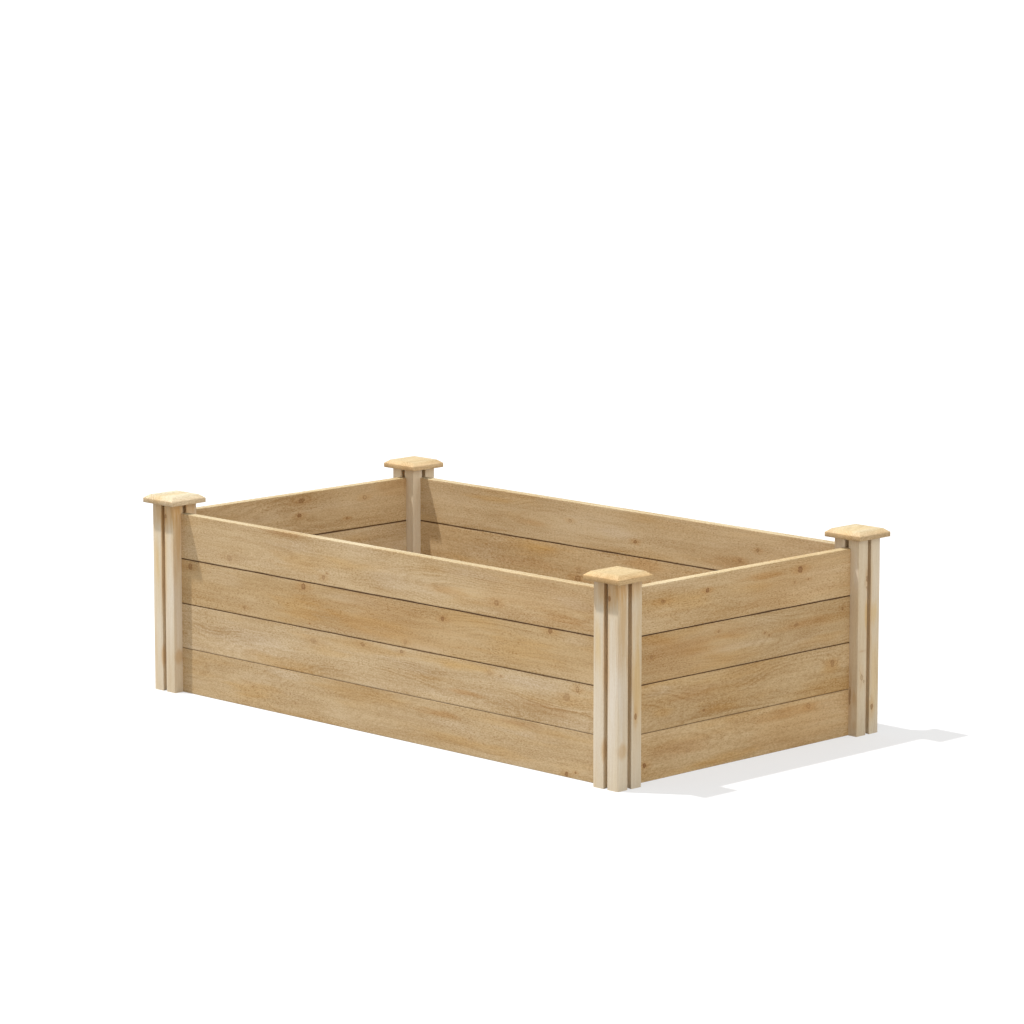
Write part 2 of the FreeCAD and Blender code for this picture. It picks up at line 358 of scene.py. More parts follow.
def share_property(name, description, share):
    """A share from 0 to 1 that the user can change."""
    return FloatProperty(
        name=name, description=description, default=share, subtype="FACTOR", min=0, max=1
    )


def angle_property(name, description, degrees):
    """An angle that the user can change."""
    return FloatProperty(
        name=name, description=description, default=math.radians(degrees), subtype="ANGLE"
    )


def strength_property(name, description, strength):
    """The strength of a light that the user can change."""
    return FloatProperty(name=name, description=description, default=strength)


class GARDENBED_PG_boards(PropertyGroup):
    """Sizes and colours of the wall boards."""

    edge_round: length_property("Edge rounding", "Rounding of the long edges", 1.1)
    edge_wear: share_property("Edge wear", "How unevenly the long edges are rounded", 0.45)
    cup: length_property("Cup", "How far a board bows between its long edges", 0.25)
    neck: length_property("Tongue neck", "Half thickness of a tongue where it starts", 4.5125)
    tip: length_property("Tongue tip", "Half thickness of a tongue at its end", 7.5625)
    tongue: length_property("Tongue length", "How far a tongue reaches into its groove", 12.2)
    mesh_step: length_property("Mesh step", "Length of one face along the board", 16)
    row_step: length_property("Row step", "Height of one face on the sides", 12)
    pale: colour_property("Pale wood", "Colour of the lightest wood", (0.640, 0.475, 0.275))
    deep: colour_property("Deep wood", "Colour of the darkest clear wood", (0.400, 0.240, 0.095))


class GARDENBED_PG_posts(PropertyGroup):
    """Sizes and colours of the corner posts."""

    edge_round: length_property("Edge rounding", "Rounding of the upright edges", 0.8)
    groove_mouth: length_property("Groove mouth", "Width of a groove at the face", 9.525)
    groove_depth: length_property("Groove depth", "Depth of a groove", 12.7)
    groove_flare: length_property("Groove flare", "How much a groove widens each side", 3.175)
    groove_edge: length_property("Groove edge", "Rounding of a groove's outer edges", 0.4)
    hole_radius: length_property("Hole radius", "Radius of the hole for the cap's peg", 4.8425)
    hole_depth: length_property("Hole depth", "Depth of the hole for the cap's peg", 27.4)
    mesh_step: length_property("Mesh step", "Length of one face up the post", 10)
    pale: colour_property("Pale wood", "Colour of the lightest wood", (0.790, 0.680, 0.510))
    deep: colour_property("Deep wood", "Colour of the darkest clear wood", (0.590, 0.440, 0.260))


class GARDENBED_PG_caps(PropertyGroup):
    """Sizes and colours of the post caps."""

    edge_round: length_property("Edge rounding", "Rounding of the outer edges", 0.6)
    corner_round: length_property("Corner rounding", "Rounding of the upright corners", 0.9)
    bevel_inset: length_property("Bevel inset", "How far the bevel runs in", 9.525)
    bevel_rise: length_property("Bevel rise", "Height of the bevel", 7.14)
    seat_radius: length_property("Seat radius", "Radius of the seat for the peg", 4.8025)
    pale: colour_property("Pale wood", "Colour of the lightest wood", (0.676, 0.488, 0.270))
    deep: colour_property("Deep wood", "Colour of the darkest wood", (0.421, 0.262, 0.112))


class GARDENBED_PG_pegs(PropertyGroup):
    """Sizes and colours of the pegs under the caps."""

    flutes: IntProperty(name="Flutes", description="Shallow grooves round a peg", default=24, min=3)
    flute_depth: length_property("Flute depth", "Depth of each flute", 0.35)
    end_bevel: length_property("End bevel", "Bevel round both ends", 0.8)
    pale: colour_property("Pale wood", "Colour of the lightest wood", (0.600, 0.430, 0.260))
    deep: colour_property("Deep wood", "Colour of the darkest wood", (0.480, 0.310, 0.170))


class GARDENBED_PG_stage(PropertyGroup):
    """Camera, lights and floor."""

    camera_place: FloatVectorProperty(
        name="Camera place",
        description="Where the camera stands",
        default=(5.6537, -5.5942, 1.6923),
        subtype="TRANSLATION",
        size=3,
    )
    camera_turn: angle_property("Camera turn", "How far it is turned about the upright axis", 45.242)
    camera_dip: angle_property("Camera dip", "How far the camera looks below level", 9.319)
    focal_length: FloatProperty(
        name="Focal length",
        description="Focal length for a picture 36 mm wide",
        default=147.99,
        min=1,
        unit="CAMERA",
    )
    key_strength: strength_property("Key light", "The high light from the front left", 4.0)
    fill_strength: strength_property("Fill light", "The broad light on the right wall", 0.80)
    sky_strength: strength_property("Sky light", "The light from all round", 0.70)
    floor_bounce: share_property("Floor bounce", "How much light the floor sends back up", 0.30)
    shadow_depth: share_property("Shadow depth", "How strongly the bed's shadow shows", 0.42)


# ------------------------------------------------------------------ node helpers


def fill(tree, node, inputs):
    """Give each named input of a node its value, or a link where the value is a socket."""
    for name, value in inputs.items():
        if isinstance(value, NodeSocket):
            tree.links.new(value, node.inputs[name])
        else:
            node.inputs[name].default_value = value
    return node


def put(tree, kind, inputs=None, **settings):
    """Add a shader node, set its settings and fill its inputs."""
    node = tree.nodes.new("ShaderNode" + kind)
    for name, value in settings.items():
        setattr(node, name, value)
    return fill(tree, node, inputs or {})


def bare_tree(owner):
    """The emptied node tree of a material or world."""
    owner.use_nodes = True
    owner.node_tree.nodes.clear()
    return owner.node_tree


def calc(tree, operation, *values):
    """The result of a math node."""
    return put(tree, "Math", dict(enumerate(values)), operation=operation).outputs[0]


def times(tree, first, second):
    """The product of two values."""
    return calc(tree, "MULTIPLY", first, second)


def calc_vector(tree, operation, *values):
    """The result of a vector math node."""
    node = put(tree, "VectorMath", dict(enumerate(values)), operation=operation)
    return node.outputs["Value" if operation == "LENGTH" else "Vector"]


def weighted(tree, start, *terms):
    """A start value plus each value times its weight."""
    total = start
    for value, weight in terms:
        total = calc(tree, "MULTIPLY_ADD", value, weight, total)
    return total


def vector_of(tree, x, y=0.0):
    """A vector made of two values."""
    return put(tree, "CombineXYZ", {"X": x, "Y": y}).outputs[0]


def parts_of(tree, vector):
    """The three values of a vector."""
    return put(tree, "SeparateXYZ", {"Vector": vector}).outputs


def ramp(tree, value, start, end):
    """A smooth step of a value, from 0 at start to 1 at end."""
    inputs = {"Value": value, "From Min": start, "From Max": end}
    return put(tree, "MapRange", inputs, interpolation_type="SMOOTHSTEP").outputs[0]


def blend_colour(tree, factor, first, second, mode="MIX"):
    """The mix of two colours, whose sockets share their names with those of other types."""
    inputs = {0: factor, 6: first, 7: second}
    return put(tree, "Mix", inputs, data_type="RGBA", blend_type=mode).outputs[2]


# What each kind of mark multiplies the wood's colour by.
TINTS = {
    "amber": (0.98, 0.86, 0.62),
    "ruddy": (0.80, 0.64, 0.48),
    "ashen": (1.05, 1.10, 1.24),
    "flame": (0.84, 0.65, 0.40),
    "knot": (0.40, 0.25, 0.12),
    # A cooler tint painted on faces turned up, for the strong light that falls on them.
    "crown": (0.82, 0.92, 1.0),
    "end": (0.78, 0.70, 0.60),
    # Shade painted into the joints between boards.
    "seam": (0.12, 0.06, 0.004),
}


def tint(tree, wood, mark, factor):
    """The wood's colour with a kind of mark on it, as strong as the factor says."""
    return blend_colour(tree, factor, wood, (*TINTS[mark], 1.0), "MULTIPLY")


def waves(tree, vector, each_way, detail=2.0, roughness=0.5):
    """Noise from about -0.5 to 0.5, with so many waves a metre along, across and in depth."""
    scaled = calc_vector(tree, "MULTIPLY", vector, each_way)
    inputs = {"Vector": scaled, "Scale": 1.0, "Detail": detail, "Roughness": roughness}
    node = put(tree, "TexNoise", inputs, noise_dimensions="3D")
    return calc(tree, "SUBTRACT", node.outputs[0], 0.5)


NUMBER = "NodeSocketFloat"
VECTOR = "NodeSocketVector"
COLOUR = "NodeSocketColor"

# What the knots of a piece pass on to each other and to the wood, with its start values:
# the push on the grain, the knot and flame masks, and the radii to the nearest knot.
GATHERED = {"Shift": 0.0, "Knot": 0.0, "Halo": 0.0, "Rings": 9.0}


def new_group(name, inputs, outputs):
    """An empty node group with named sockets, with its inputs and its end node."""
    tree = bpy.data.node_groups.new(name, "ShaderNodeTree")
    for socket, kind in inputs.items():
        tree.interface.new_socket(name=socket, in_out="INPUT", socket_type=kind)
    for socket, kind in outputs.items():
        tree.interface.new_socket(name=socket, in_out="OUTPUT", socket_type=kind)
    return tree, tree.nodes.new("NodeGroupInput").outputs, tree.nodes.new("NodeGroupOutput")


def knot_group():
    """One knot: adds its share to the push on the grain and to the knot and flame masks."""
    gathered = {name: NUMBER for name in GATHERED}
    own = {"Grain": VECTOR, "Ragged": NUMBER, "Place": VECTOR, "Stretch": VECTOR}
    own.update({"Radius": NUMBER, "Shade": NUMBER, "Hollow": NUMBER})
    tree, taken, result = new_group("Knot", {**own, **gathered}, gathered)

    # The knot itself: everything is counted in radii from its middle, and its rim and its
    # heart each fade between two such distances.
    rim_wobble = 1.3
    away = calc_vector(tree, "SUBTRACT", taken["Grain"], taken["Place"])
    away = calc_vector(tree, "DIVIDE", away, taken["Stretch"])
    reach = calc(tree, "DIVIDE", calc_vector(tree, "LENGTH", away), taken["Radius"])
    reach = weighted(tree, reach, (taken["Ragged"], rim_wobble))
    heart = times(tree, ramp(tree, reach, 0.9, 0.4), taken["Hollow"])
    knot = times(tree, ramp(tree, reach, 1.2, 0.8), taken["Shade"])
    knot = times(tree, knot, calc(tree, "SUBTRACT", 1.0, heart))

    # The flame round it, drawn out along the grain, and its push on the grain.
    draw_out = (0.4, 1.0, 1.0)
    flame_wobble = 1.6
    push_fall_off = -0.3
    push_strength = 1.4
    drawn_out = calc_vector(tree, "MULTIPLY", away, draw_out)
    flame = calc(tree, "DIVIDE", calc_vector(tree, "LENGTH", drawn_out), taken["Radius"])
    ragged_flame = weighted(tree, flame, (taken["Ragged"], flame_wobble))
    halo = times(tree, ramp(tree, ragged_flame, 2.6, 0.5), taken["Shade"])
    fall_off = times(tree, times(tree, flame, flame), push_fall_off)
    push = times(tree, calc(tree, "EXPONENT", fall_off), taken["Radius"])
    shares = {
        "Shift": weighted(tree, taken["Shift"], (push, push_strength)),
        "Knot": calc(tree, "MAXIMUM", taken["Knot"], knot),
        "Halo": calc(tree, "MAXIMUM", taken["Halo"], halo),
        "Rings": calc(tree, "MINIMUM", taken["Rings"], reach),
    }
    fill(tree, result, shares)
    return tree


def stain_group():
    """One stain, or one patch of painted shade or light on a post: a soft streaky patch that adds
    its kind to those gathered so far.
    """
    own = {"Grain": VECTOR, "Ragged": NUMBER, "Place": VECTOR, "Reach": VECTOR, "Kind": VECTOR}
    tree, taken, result = new_group("Stain", {**own, "Stains": VECTOR}, {"Stains": VECTOR})
    edge_wobble = 2.2
    away = calc_vector(tree, "SUBTRACT", taken["Grain"], taken["Place"])
    away = calc_vector(tree, "LENGTH", calc_vector(tree, "DIVIDE", away, taken["Reach"]))
    cover = ramp(tree, weighted(tree, away, (taken["Ragged"], edge_wobble)), 1.35, 0.25)
    share = calc_vector(tree, "MULTIPLY", taken["Kind"], cover)
    fill(tree, result, {"Stains": calc_vector(tree, "ADD", taken["Stains"], share)})
    return tree


def cedar_group():
    """Cedar: growth rings round a pith, fibres, specks, stains and knots."""
    own = {"Grain": VECTOR, "Seed": VECTOR, "Pith": VECTOR, "Spacing": NUMBER}
    own.update({"Contrast": NUMBER, "Patches": NUMBER, "Specks": NUMBER})
    own.update({"Pale": COLOUR, "Deep": COLOUR, "Stains": VECTOR})
    # End grain, shade painted into the board joints, and a tint painted for the light on faces
    # turned up.
    own.update({"End": NUMBER, "Seam": NUMBER, "Crown": NUMBER})
    gathered = {name: NUMBER for name in GATHERED}
    made = {"Colour": COLOUR, "Roughness": NUMBER, "Height": NUMBER}
    tree, taken, result = new_group("Cedar", {**own, **gathered}, made)
    place = calc_vector(tree, "ADD", taken["Grain"], taken["Seed"])

    def other_waves(offset, *shape):
        """Noise that goes its own way, from another part of the noise's field."""
        return waves(tree, calc_vector(tree, "ADD", place, offset), *shape)

    # Growth rings: the distance from a pith that wanders slowly along the piece. They
    # show clearly only here and there.
    from_pith = parts_of(tree, calc_vector(tree, "SUBTRACT", taken["Grain"], taken["Pith"]))
    across = weighted(tree, from_pith["Y"], (waves(tree, place, (1.7, 2, 2), 1.0), 0.10))
    deep = weighted(tree, from_pith["Z"], (waves(tree, place, (2.7, 3, 3), 1.0), 0.06))
    radius = calc_vector(tree, "LENGTH", vector_of(tree, across, deep))
    ripple = waves(tree, place, (14, 90, 90), 3.0, 0.6)
    radius = weighted(tree, calc(tree, "ADD", radius, taken["Shift"]), (ripple, 0.0045))
    turn = calc(tree, "DIVIDE", radius, taken["Spacing"])
    year = calc(tree, "FLOOR", turn)
    season = calc(tree, "SUBTRACT", turn, year)
    late = times(tree, ramp(tree, season, 0.2, 0.85), ramp(tree, season, 1.0, 0.9))
    year_place = calc_vector(tree, "ADD", vector_of(tree, year), taken["Seed"])
    strength = weighted(tree, 0.75, (waves(tree, year_place, (1.37, 1, 1), 0.0), 1.5))
    clear = ramp(tree, other_waves((3.1, 8.2, 5.7), (4.5, 20, 20)), -0.05, 0.22)
    late = times(tree, late, strength)
    late = times(tree, late, weighted(tree, 0.3, (clear, 0.9)))

    # Fibres and streaks that run along the grain, broad soft patches, and small dark
    # specks that lie thick in some places and thin in others.
    fibre = waves(tree, place, (14, 700, 700), 3.0, 0.65)
    streak = waves(tree, place, (5, 110, 110), 3.0, 0.6)
    patch = waves(tree, place, (4.6, 17, 17), 3.0, 0.55)
    fleck = waves(tree, place, (200, 520, 520), 1.0)
    thick = ramp(tree, other_waves((5.2, 2.8, 9.6), (5, 26, 26)), -0.12, 0.16)
    speck = ramp(tree, waves(tree, place, (230, 460, 460), 1.0), 0.0, 0.24)
    speck = times(tree, speck, weighted(tree, 0.15, (thick, 0.45)))
    speck = weighted(tree, speck, (fleck, 1.35))
    depth = weighted(
        tree,
        0.30,
        (times(tree, patch, taken["Patches"]), 1.2),
        (streak, 0.8),
        (speck, taken["Specks"]),
        (fibre, 0.5),
        (late, taken["Contrast"]),
    )
    depth = calc(tree, "MINIMUM", calc(tree, "MAXIMUM", depth, 0.0), 1.4)
    wood = blend_colour(tree, depth, taken["Pale"], taken["Deep"])

    # Stains: the listed ones, and faint ones everywhere.
    stains = parts_of(tree, taken["Stains"])
    hue = other_waves((7.3, 1.9, 4.4), (4, 26, 26), 3.0)
    red = other_waves((1.6, 6.1, 2.3), (7, 110, 110), 3.0, 0.6)
    faint = {
        "amber": ("X", ramp(tree, hue, 0.0, 0.26), 0.6),
        "ruddy": ("Y", ramp(tree, red, 0.08, 0.3), 0.18),
        "ashen": ("Z", ramp(tree, hue, 0.0, -0.26), 0.6),
    }
    for kind, (listed, cover, strength) in faint.items():
        cover = times(tree, cover, taken["Patches"])
        wood = tint(tree, wood, kind, weighted(tree, stains[listed], (cover, strength)))

    # Knots: an amber flame round each, a dark rim and a ringed heart.
    wood = tint(tree, wood, "flame", times(tree, taken["Halo"], 0.5))
    ring_wave = calc(tree, "SINE", times(tree, taken["Rings"], 13.0))
    rim = ramp(tree, taken["Rings"], 0.55, 0.95)
    cover = weighted(tree, 0.72, (ring_wave, 0.08), (rim, 0.2))
    wood = tint(tree, wood, "knot", times(tree, cover, taken["Knot"]))

    # Faces turned up get a cooler tint painted for the strong light on them, end grain
    # soaks up light, and shade is painted into the joints where two boards meet.
    wood = tint(tree, wood, "crown", taken["Crown"])
    wood = tint(tree, wood, "end", times(tree, taken["End"], 0.5))
    wood = tint(tree, wood, "seam", taken["Seam"])
    rough = weighted(tree, 0.66, (late, -0.08), (fibre, 0.15), (taken["Knot"], -0.12))
    height = weighted(tree, 0.0, (late, 0.45), (fibre, 0.9), (fleck, 0.35))
    fill(tree, result, {"Colour": wood, "Roughness": rough, "Height": height})
    return tree


GROUPS = {"Knot": knot_group, "Stain": stain_group, "Cedar": cedar_group}


def put_group(tree, name, inputs):
    """Add a node of a shared group, which is built when it is first needed."""
    group = bpy.data.node_groups.get(name) or GROUPS[name]()
    return put(tree, "Group", inputs, node_tree=group).outputs


def toned(colour, tone):
    """A colour made lighter and warmer as a tone says, with full opacity."""
    green_loss = 0.04 * tone.warm
    blue_loss = 0.12 * tone.warm
    red, green, blue = (channel * tone.light for channel in colour)
    return (red, green * (1 - green_loss), blue * (1 - blue_loss), 1.0)


# What sets a piece's wood apart: where the pith lies across and in depth, in metres from
# the piece's own origin, the width of a year's growth, how dark its late wood is, and how
# strong its broad patches of colour and its small specks are.
Cut = namedtuple("Cut", "pith_across pith_depth spacing contrast patches specks")


def wood_material(name, colours, cut, knots=(), stains=(), tone=Tone(1.0, 0.0)):
    """A cedar finish for one piece, with its own grain."""
    chance = random.Random("grain of " + name)
    material = bpy.data.materials.new(name)
    tree = bare_tree(material)
    grain = put(tree, "Attribute", attribute_name="grain").outputs["Vector"]
    gathered = dict(GATHERED)
    ragged = waves(tree, grain, (170, 230, 230)) if knots else 0.0
    for knot in knots:
        own = {"Grain": grain, "Ragged": ragged, **knot}
        outputs = put_group(tree, "Knot", {**own, **gathered})
        gathered = {socket: outputs[socket] for socket in GATHERED}
    stained = (0.0, 0.0, 0.0)
    streaky = waves(tree, grain, (9, 75, 75), 4.0, 0.6) if stains else 0.0
    for stain in stains:
        own = {"Grain": grain, "Ragged": streaky, **stain}
        stained = put_group(tree, "Stain", {**own, "Stains": stained})["Stains"]
    own = {
        "Grain": grain,
        "Seed": [chance.uniform(-40, 40) for _ in range(3)],
        "Pith": (0.0, cut.pith_across, cut.pith_depth),
        "Spacing": cut.spacing,
        "Contrast": cut.contrast,
        "Patches": cut.patches,
        "Specks": cut.specks,
        "Stains": stained,
        "Pale": toned(colours.pale, tone),
        "Deep": toned(colours.deep, tone),
    }
    # End grain, shade painted into the board joints, and a tint painted for the light on faces
    # turned up.
    for mask in ("End", "Seam", "Crown"):
        own[mask] = put(tree, "Attribute", attribute_name=mask.lower()).outputs["Fac"]
    cedar = put_group(tree, "Cedar", {**own, **gathered})
    relief = {"Height": cedar["Height"], "Distance": 0.16 * MM, "Strength": 0.8}
    finish = {
        "Base Color": cedar["Colour"],
        "Roughness": cedar["Roughness"],
        "Normal": put(tree, "Bump", relief).outputs["Normal"],
        "IOR": 1.45,
        "Specular IOR Level": 0.3,
    }
    shader = put(tree, "BsdfPrincipled", finish)
    put(tree, "OutputMaterial", {"Surface": shader.outputs["BSDF"]})
    return material


# ------------------------------------------------------------------ mesh helpers


def rounded_outline(corners, radii, steps):
    """Points of an outline whose corners are rounded; a radius of 0 leaves one sharp."""
    points = []
    for index, radius in enumerate(radii):
        corner = corners[index]
        if not radius:
            points.append(corner)
            continue
        back = (corners[index - 1] - corner).normalized()
        ahead = (corners[(index + 1) % len(corners)] - corner).normalized()
        half_angle = back.angle(ahead) / 2
        middle = corner + (back + ahead).normalized() * (radius / math.sin(half_angle))
        tangent = radius / math.tan(half_angle)
        start = corner + back * tangent - middle
        end = corner + ahead * tangent - middle
        for step in range(steps + 1):
            points.append(middle + start.lerp(end, step / steps).normalized() * radius)
    return points


def split_sides(outline, longest):
    """The outline with more points, so that no side is longer than the longest allowed."""
    points = []
    for index, start in enumerate(outline):
        end = outline[(index + 1) % len(outline)]
        pieces = max(1, math.ceil((end - start).length / longest))
        points += [start.lerp(end, piece / pieces) for piece in range(pieces)]
    return points


def marks_between(low, high, step, extra=()):
    """Even marks from low to high, with extra ones where the mesh has to be finer."""
    count = max(1, round((high - low) / step))
    marks = [low + (high - low) * index / count for index in range(count + 1)]
    marks = sorted(marks + [mark for mark in extra if low < mark < high])
    least = 1.5 * MM
    kept = [low]
    for mark in marks:
        if mark - kept[-1] > least and high - mark > least:
            kept.append(mark)
    return kept + [high]


def ring(mesh, points):
    """New vertices at the points."""
    return [mesh.verts.new(point) for point in points]


def stack(mesh, rings):
    """Four-sided faces between each ring and the next, which has as many vertices."""
    for first, second in zip(rings, rings[1:]):
        for index in range(len(first)):
            after = (index + 1) % len(first)
            mesh.faces.new((first[index], first[after], second[after], second[index]))


def blind_hole(mesh, outer, radius, mouth, floor):
    """A round hole in the flat end that the outer ring bounds, from its mouth to its floor."""
    sides = 32
    turns = [math.tau * side / sides for side in range(sides)]
    rings = []
    for height in (mouth, floor):
        circle = [(radius * math.cos(turn), radius * math.sin(turn), height) for turn in turns]
        rings.append(ring(mesh, circle))
    stack(mesh, rings)
    mesh.faces.new(rings[1])
    edges = []
    for loop in (outer, rings[0]):
        for index, vertex in enumerate(loop):
            edges.append(mesh.edges.get((vertex, loop[(index + 1) % len(loop)])))
    bmesh.ops.triangle_fill(mesh, use_beauty=True, edges=edges)


# How uneven something is: by how much at most, and with how many waves a metre.
Uneven = namedtuple("Uneven", "size waves")

BOARD_FACE = Uneven(0.12 * MM, 14)
POST_FACE = Uneven(0.12 * MM, 12)
CAP_FACE = Uneven(0.10 * MM, 20)


def unevenness(place, uneven, seed):
    """A small smooth rise or fall at a place."""
    elsewhere = Vector((seed, 0.7 * seed, -seed))
    return uneven.size * noise.noise(Vector(place) * uneven.waves + elsewhere)


def add_attribute(data, name, domain, values):
    """Store one number or one vector for each point or face of a mesh."""
    if isinstance(values[0], tuple):
        layer = data.attributes.new(name, "FLOAT_VECTOR", domain)
        layer.data.foreach_set("vector", [number for value in values for number in value])
    else:
        layer = data.attributes.new(name, "FLOAT", domain)
        layer.data.foreach_set("value", values)


def nearness(data, marks):
    """How near each point of a mesh is to the marked heights, times their strengths."""
    reach = 1.3 * MM
    near = []
    for vertex in data.vertices:
        shares = [much * (1 - abs(vertex.co.z - height) / reach) for height, much in marks]
        near.append(max([0.0, *shares]))
    return near


def add_object(name, data):
    """Put an object with this data into the scene."""
    added = bpy.data.objects.new(name, data)
    bpy.context.scene.collection.objects.link(added)
    return added


def add_piece(name, mesh, placing, material, grain_axes, joint_shades=(), lit_tops=()):
    """Turn a mesh into the piece that stands for a node, with its grain, finish and body.

    grain_axes are the mesh's own axes that lie along the grain, across it and in depth.
    The last two give the heights where shade is painted into the joints between boards and
    where a cooler tint is painted for the strong light on faces turned up, each with its
    strength.
    """
    end_grain_facing = 0.8
    sharpest_smooth = math.radians(34)
    bmesh.ops.recalc_face_normals(mesh, faces=mesh.faces)
    data = bpy.data.meshes.new(name + "_wood")
    mesh.to_mesh(data)
    mesh.free()
    grain = [tuple(vertex.co[axis] for axis in grain_axes) for vertex in data.vertices]
    facing = [abs(face.normal[grain_axes[0]]) for face in data.polygons]
    ends = [1.0 if share > end_grain_facing else 0.0 for share in facing]
    add_attribute(data, "grain", "POINT", grain)
    # Where shade is painted into the joints, and where a tint is painted for the light on faces
    # turned up.
    add_attribute(data, "seam", "POINT", nearness(data, joint_shades))
    add_attribute(data, "crown", "POINT", nearness(data, lit_tops))
    add_attribute(data, "end", "FACE", ends)
    data.shade_smooth()
    data.set_sharp_from_angle(angle=sharpest_smooth)
    data.transform(placing)
    data.materials.append(material)
    piece = add_object(name + "_wood", data)
    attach(piece, frame["nodes"][name]["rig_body"])
    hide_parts(name)


def placing_and_size(name, wall="front"):
    """The placing of a node that stands along a wall, and its size along its own axes."""
    low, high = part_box(name)
    middle = (low + high) / 2
    size = high - low
    if wall in SIDE_WALLS:
        size = Vector((size.y, size.x, size.z))
    turn = Matrix.Rotation(math.radians(WALL_TURN[wall]), 4, "Z")
    return Matrix.Translation((middle.x, middle.y, low.z)) @ turn, size


def knot_inputs(knot, place, stretch):
    """What the shader needs for a knot."""
    return {
        "Place": place,
        "Stretch": stretch,
        "Radius": knot.radius * MM,
        "Shade": knot.shade,
        "Hollow": knot.hollow,
    }


def stain_inputs(stain, place, reach):
    """What the shader needs for a stain."""
    kind = [share * stain.strength for share in STAIN_KINDS[stain.kind]]
    return {"Place": place, "Reach": reach, "Kind": kind}


# ------------------------------------------------------------------ boards


def board_knots(name, length, height):
    """A board's knots: those listed for it, or a few by chance."""
    if name in KNOTS:
        return KNOTS[name]
    chance = random.Random("knots of " + name)
    knots = []
    for _ in range(chance.randint(2, 5)):
        along = chance.uniform(-0.46, 0.46) * length / MM
        above = chance.uniform(0.08, 0.92) * height / MM
        radius = chance.uniform(2.0, 6.0)
        stretch = chance.uniform(0.9, 1.4)
        shade = chance.uniform(0.4, 1.0)
        knots.append(Knot(along, above, radius, stretch, shade, chance.random()))
    return knots


def knot_swell(along, above, knots):
    """How far the wood stands proud at its knots."""
    rise = 0.2 * MM
    spread = 1.5
    total = 0.0
    for knot in knots:
        away = math.hypot((along / MM - knot.along) / knot.stretch, above / MM - knot.above)
        total += rise * knot.shade * math.exp(-((away / (spread * knot.radius)) ** 2))
    return total


def board_section(along, rows, size, sizes, knots, seed):
    """Points round a board's section: up its outer face, over, and down its inner face.

    Each face is drawn as the outer one; the inner one is then turned half round.
    """
    half = size.y / 2
    bow = sizes.cup * math.sin(5 * seed)
    edge_wear = Uneven(sizes.edge_wear, 16)
    # The rounding of a lower and of an upper edge, each a quarter turn in three steps.
    low_turns, high_turns = (
        [math.radians(start - 30 * step) for step in range(4)] for start in (270, 180)
    )
    section = []
    for side in (-1, 1):
        low_round, high_round = (
            sizes.edge_round * (1 + unevenness((along, side, edge), edge_wear, seed))
            for edge in (0.3, 0.6)
        )
        points = []
        for turn in low_turns:
            across = low_round * (1 + math.cos(turn)) - half
            points.append((across, low_round * (1 + math.sin(turn))))
        for row in rows if side < 0 else [size.z - row for row in reversed(rows)]:
            above = row if side < 0 else size.z - row
            out = knot_swell(along, above, knots)
            out += unevenness((along, 0.1 * side, above), BOARD_FACE, seed)
            out -= side * bow * (1 - (2 * above / size.z - 1) ** 2)
            points.append((-half - out, row))
        for turn in high_turns:
            across = high_round * (1 + math.cos(turn)) - half
            points.append((across, size.z - high_round * (1 - math.sin(turn))))
        if side > 0:
            points = [(-across, size.z - above) for across, above in points]
        section += points
    return section


def board_mesh(size, sizes, knots, seed):
    """A board: a worn, slightly cupped plank with a dovetail tongue on each end."""
    mesh = bmesh.new()
    shoulder = size.x / 2 - sizes.tongue
    rim = 2.5 * sizes.edge_round
    tongue_inset = 0.3 * MM
    fine_along = []
    fine_up = []
    for knot in knots:
        for side in (-1, 0, 1):
            fine_along.append((knot.along + knot.radius * knot.stretch * side) * MM)
            fine_up.append((knot.above + knot.radius * side) * MM)
    stations = marks_between(-shoulder, shoulder, sizes.mesh_step, fine_along)
    rows = marks_between(rim, size.z - rim, sizes.row_step, fine_up)
    sections = [board_section(along, rows, size, sizes, knots, seed) for along in stations]

    def tongue(section, along, half_thickness):
        """A ring of a tongue, drawn in from the board's own section."""
        shrink = half_thickness / (size.y / 2)
        points = []
        for across, above in section:
            above = min(max(above, tongue_inset), size.z - tongue_inset)
            points.append((along, across * shrink, above))
        return ring(mesh, points)

    rings = [
        tongue(sections[0], -size.x / 2, sizes.tip),
        tongue(sections[0], -shoulder, sizes.neck),
    ]
    for along, section in zip(stations, sections):
        rings.append(ring(mesh, [(along, across, above) for across, above in section]))
    rings.append(tongue(sections[-1], shoulder, sizes.neck))
    rings.append(tongue(sections[-1], size.x / 2, sizes.tip))
    stack(mesh, rings)
    mesh.faces.new(rings[0])
    mesh.faces.new(rings[-1])
    return mesh


def board_knot_inputs(knot):
    """What the shader needs for a knot that goes right through a board."""
    right_through = 50.0
    place = (knot.along * MM, knot.above * MM, 0.0)
    return knot_inputs(knot, place, (knot.stretch, 1.0, right_through))


def board_stains(name, length, height):
    """A board's stains: those listed for it, or a few by chance."""
    if name in STAINS:
        return STAINS[name]
    chance = random.Random("stains of " + name)
    stains = []
    for _ in range(chance.randint(4, 6)):
        kind = chance.choice(list(STAIN_KINDS))
        along = chance.uniform(-0.45, 0.45) * length / MM
        above = chance.uniform(0.1, 0.9) * height / MM
        half_along = chance.uniform(45, 110)
        half_up = chance.uniform(6, 20)
        stains.append(Stain(kind, along, above, half_along, half_up, chance.uniform(0.5, 0.9)))
    return stains


def board_stain_inputs(stain):
    """What the shader needs for a stain that goes right through a board."""
    right_through = 1.0
    place = (stain.along * MM, stain.above * MM, 0.0)
    return stain_inputs(stain, place, (stain.half_along * MM, stain.half_up * MM, right_through))


